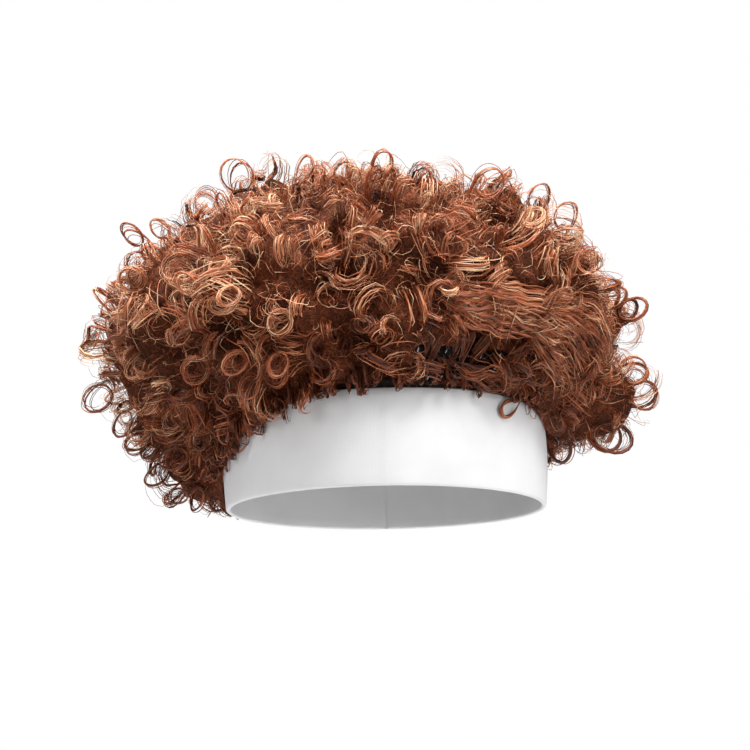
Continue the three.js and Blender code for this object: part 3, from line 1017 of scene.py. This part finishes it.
# Combed locks
# Longer locks with only a wave in them, at the front over the +X side, which lie along the outside of the
# mass and run back and down from over the gap, and short dark ones that hang inside the gap. The rows' dyes
# darken towards the band, down to near black for the hanging ones: painted shade under the overhang.
# Degrees and millimetres.
COMBED = table(
    "locks from_azimuth to_azimuth from_elevation to_elevation "
    "from_run to_run from_fall to_fall sway depth dye",
    [
        (18, 4, 28, 2, 9, 20, 30, -5, 0, 0, 3.5, 0.5),
        (22, 30, 52, -8, 7, 14, 26, -12, -4, 0, 3.5, 0.4),
        (6, 16, 26, -13, -11, 18, 26, -2, 0, 0, 3.5, 0.3),
        (6, 6, 11, 0, 3, -1, 1, -13, -11, 1.2, 7, 0.02),
        (9, 12, 21, 0, 3, -1, 2, -13, -11, 1.2, 11, 0.03),
        (5, 25, 30, 0, 3, -4, -1, -13, -10, 1.6, 13, 0.03),
    ],
)
COMBED_WAVE = 0.012
COMBED_RIPPLE = 0.0015
COMBED_ROOM = 0.6
COMBED_LEAD_RUN = 0.3
COMBED_LOOSE = 0.0003
COMBED_THICKNESS = 0.3
STRAY_RISE = 0.014
STRAY_PHASE = 0.05
STRAY_DEPTH = 0.0008
CORE_SINK = 0.01


def combed_lines(strands, stations):
    """Lines along the hair's skin from one place to another, which come out of the hair at the root and
    wave up and down and in and out on their way. Gives the lines and their outward ways."""
    along = np.linspace(0, 1, stations)[None, :]
    wave = np.sin(2 * np.pi * (strands["waves"][:, None] * along + strands["phase"][:, None]))
    turn = strands["turn"][:, None] + strands["run"][:, None] * along + strands["sway"][:, None] * wave
    rise = strands["rise"][:, None] + strands["fall"][:, None] * along + COMBED_WAVE * wave
    lead = ROOT_LEAD * (1 - smooth(along / COMBED_LEAD_RUN))
    depth = strands["depth"][:, None] + lead + COMBED_RIPPLE * wave
    outward = outward_at(turn, rise)
    skin = read_grid(hair_out, turn, rise)
    room = np.linalg.norm(skin - read_grid(hair_in, turn, rise), axis=-1)
    return skin - outward * np.minimum(depth, room * COMBED_ROOM)[..., None], outward


def shared(rows, column):
    """The value that a row of a table has in a column, for each of the row's locks."""
    return np.repeat(rows[column], rows["locks"].astype(int))


def drawn(rows, column):
    """Random values for every lock of a table, between the two that its row has for a column."""
    return random.uniform(shared(rows, "from_" + column), shared(rows, "to_" + column))


azimuth, elevation = drawn(COMBED, "azimuth"), drawn(COMBED, "elevation")
run, fall = drawn(COMBED, "run"), drawn(COMBED, "fall")
count = len(azimuth)
rise = rise_at(azimuth, elevation)
combed = {
    "turn": azimuth / 360,
    "run": run / 360,
    "sway": shared(COMBED, "sway") / 360,
    "rise": rise,
    "fall": rise_at(azimuth + run, elevation + fall) - rise,
    "depth": shared(COMBED, "depth") / 1000 + random.uniform(-0.0025, 0.0025, count),
    "waves": random.uniform(0.5, 1.1, count),
    "phase": random.uniform(0, 1, count),
    "dye": shared(COMBED, "dye") + random.normal(0, 0.06, count),
}


def lay_combed(number, stations, width, darker, spread):
    """Bundles along the combed locks, each a little above or below, ahead or behind, lighter or darker."""
    strands = {name: np.repeat(values, number) for name, values in combed.items()}
    stray = random.normal(size=(4, len(strands["rise"])))
    strands["rise"] = strands["rise"] + stray[0] * STRAY_RISE
    strands["phase"] = strands["phase"] + stray[1] * STRAY_PHASE
    strands["depth"] = strands["depth"] + stray[2] * STRAY_DEPTH + darker * CORE_SINK
    dye = strands["dye"] - darker + stray[3] * spread
    lines, outward = combed_lines(strands, stations)
    lines = lines + wander(len(lines), stations, COMBED_LOOSE)
    width = random.uniform(*width, len(lines))
    hair_batches.append((strands["rise"], *tubes(lines, outward, width, width * COMBED_THICKNESS, dye)))


# The wide bundles are dyed darker as painted shade and sunk deeper under the fine ones.
lay_combed(number=2, stations=10, width=(0.0010, 0.0022), darker=CORE_PAINTED_SHADE, spread=0.06)
lay_combed(number=7, stations=14, width=(0.00028, 0.00065), darker=0.0, spread=0.13)

# Fringe
# Wisps that curl out of the hem over the upper rim of the band, short over the front and longer over the -X
# side. The ones over the front are dyed near black, painted shade under the hair's overhang. Degrees and
# millimetres.
FRINGE = table("locks from_azimuth to_azimuth radius hang dye", [
    (52, -32, 44, 2.4, 2.2, 0.05), (42, -84, -28, 4.5, 3.0, 0.2), (28, -62, -36, 5, 4.5, 0.15),
    (3, -21, -18, 4, 5, 0.3), (26, -20, 8, 2.6, 3.2, 0.05), (16, 44, 64, 3.2, 1.2, 0.15),
])
azimuth = drawn(FRINGE, "azimuth")
count = len(azimuth)
radius = shared(FRINGE, "radius") / 1000 * random.uniform(0.6, 1.4, count)
fringe = curls_at(
    azimuth / 360,
    random.uniform(0, 0.03, count),
    depth=radius * 0.5,
    radius=radius,
    turns=random.uniform(0.3, 0.8, count),
    climb=random.uniform(0, 0.003, count),
    axis=unit(on_ray(np.radians(azimuth) + np.pi / 2, 1, 0) + random.normal(0, 0.5, (count, 3))),
    dye=shared(FRINGE, "dye") + random.normal(0, 0.06, count),
)
hang = shared(FRINGE, "hang") / 1000 * random.uniform(0, 2, count)
fringe["place"] = fringe["place"] - np.array([0, 0, 1]) * hang[:, None]
lay_locks(
    frayed(fringe, number=1, aside=0.2, spread=0.1, dye_spread=0.04),
    stations=10, width=(0.0010, 0.0020), thick=0.3, outward=0.8, loose=0.0003,
)
lay_locks(
    frayed(fringe, number=4, aside=0.3, spread=0.2, dye_spread=0.1),
    stations=10, width=(0.0002, 0.0005), thick=0.5, outward=0.5, loose=0.0003,
)

# Frizz
# Single strands that have come out of the curls and lie over them in arcs of every direction. They blur the
# bunches, and stand off a little all round the outline. They are dyed lighter than the curls, a painted
# highlight for the light that single strands catch.
FRIZZ_SPACING = 0.0070

turn, rise = weft_places(FRIZZ_SPACING)
count = len(turn)
frizz = curls_at(
    turn,
    rise,
    depth=random.uniform(0.0005, 0.008, count) + sunk(read_grid(hair_out, turn, rise)),
    radius=random.uniform(0.003, 0.009, count),
    turns=random.uniform(0.2, 0.7, count),
    climb=random.uniform(0, 0.004, count),
    axis=leaning(turn, rise, 1.2),
    dye=dyes(turn, rise, 0.62, 0.12),
)
lay_locks(frizz, stations=8, width=(0.00018, 0.0003), thick=0.8, outward=0.0, loose=0.0006)

# Hair pieces
# The wefts in five zones, from the hem to the crown, as they are sewn on one after another.
# Each zone has a fifth of all the triangles.
ZONES = ["hair_hem", "hair_lower", "hair_middle", "hair_upper", "hair_crown"]


def hair_piece(name, material, low, high):
    """One piece from the tubes of every batch whose wefts lie between two rises."""
    points, maps, quads, triangles, first = [], [], [], [], 0
    for rise, corners, uv in hair_batches:
        chosen = (rise >= low) & (rise < high)
        four, three = tube_faces(chosen.sum(), corners.shape[1])
        points.append(corners[chosen].reshape(-1, 3))
        maps.append(uv[chosen].reshape(-1, 2))
        quads.append(four + first)
        triangles.append(three + first)
        first += len(points[-1])
    parts = [np.concatenate(part) for part in (points, quads, triangles, maps)]
    return piece_from(name, "hair_fibre", material, *parts)


rises = np.concatenate([rise for rise, _, _ in hair_batches])
# A tube of n stations has six triangles from each to the next and one at both ends, 6 n - 4 in all.
triangles = [np.full(len(corners), corners.shape[1] * 6 - 4) for _, corners, _ in hair_batches]
order = np.argsort(rises)
running = np.cumsum(np.concatenate(triangles)[order])
cuts = np.interp(np.linspace(0, running[-1], len(ZONES) + 1), running, rises[order])
cuts[0], cuts[-1] = 0, np.inf
fibre = hair_fibre()
for name, low, high in zip(ZONES, cuts[:-1], cuts[1:]):
    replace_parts(hair_piece(name, fibre, low, high), "hair")

# Studio
# A pale floor well below the wig, which is held up by nothing that shows, and a white surround.
# Five soft boxes light it, the strongest from above.
FLOOR_HEIGHT = -0.8
FLOOR_RADIUS = 3.0
FLOOR_SIDES = 96
FLOOR_SHADE = 0.8
CAMERA_TARGET = Vector((-0.0045, 0, 0.068))
CAMERA_DISTANCE = 1.19
CAMERA_DROP = 0.134
CAMERA_ROLL = np.radians(-0.9)
LENS = 115.0
LIGHT_TARGET = Vector((0, 0, 0.08))


def floor_material():
    """A pale matt floor, which looks as white as the surround."""
    material, start = finish_for("floor")
    seen = start.add("LightPath", {}).out("Is Camera Ray")
    close_finish(
        start,
        Base_Color=(1 - seen) * FLOOR_SHADE,
        Emission_Color=(1, 1, 1, 1),
        Emission_Strength=seen,
        Roughness=0.9,
        Specular_IOR_Level=0.0,
    )
    return material


floor_ring = on_ray(np.linspace(0, 2 * np.pi, FLOOR_SIDES, endpoint=False), FLOOR_RADIUS, FLOOR_HEIGHT)
floor_mesh = bpy.data.meshes.new("floor")
floor_mesh.from_pydata(floor_ring.tolist(), [], [tuple(range(FLOOR_SIDES))])
floor_mesh.materials.append(floor_material())
floor = bpy.data.objects.new("floor", floor_mesh)
bpy.context.scene.collection.objects.link(floor)

camera = bpy.data.objects.new("camera", bpy.data.cameras.new("camera"))
bpy.context.scene.collection.objects.link(camera)
camera.data.lens = LENS
camera.location = Vector((CAMERA_TARGET.x, -CAMERA_DISTANCE, -CAMERA_DROP))
aim = (CAMERA_TARGET - camera.location).to_track_quat("-Z", "Y")
camera.rotation_euler = aim.to_euler()
camera.rotation_euler.rotate_axis("Z", CAMERA_ROLL)
bpy.context.scene.camera = camera

world = bpy.data.worlds.new("surround")
bpy.context.scene.world = world
world.use_nodes = True
world.node_tree.nodes.clear()
sky = Socket(world.node_tree)
seen = sky.add("LightPath", {}).out("Is Camera Ray")
height = sky.add("SeparateXYZ", {}, Vector=sky.add("TexCoord", {}).out("Generated")).out("Z")
ambient = sky.add("MapRange", {}, Value=height, From_Min=-0.6, From_Max=0.1, To_Min=0.11, To_Max=0.29)
surround = sky.add("Background", {}, Color=(1, 1, 1, 1), Strength=sky.math("MAXIMUM", seen, ambient))
sky.add("OutputWorld", {}, Surface=surround)


def soft_box(name, place, size, power):
    """A square area light that looks at the middle of the wig."""
    lamp = bpy.data.lights.new(name, "AREA")
    lamp.size = size
    lamp.energy = power
    light = bpy.data.objects.new(name, lamp)
    light.location = place
    light.rotation_euler = (LIGHT_TARGET - Vector(place)).to_track_quat("-Z", "Y").to_euler()
    bpy.context.scene.collection.objects.link(light)


soft_box("key", (0.8, -0.9, 1.15), 0.5, 19)
soft_box("low", (1.25, -0.75, 0.0), 0.8, 6.0)
soft_box("fill", (-1.0, -0.9, 0.7), 1.0, 7.0)
soft_box("top", (-0.1, -0.35, 1.4), 0.5, 39)
soft_box("back", (-0.7, 1.2, 0.7), 0.8, 9)
bpy.context.scene.view_settings.view_transform = "Standard"
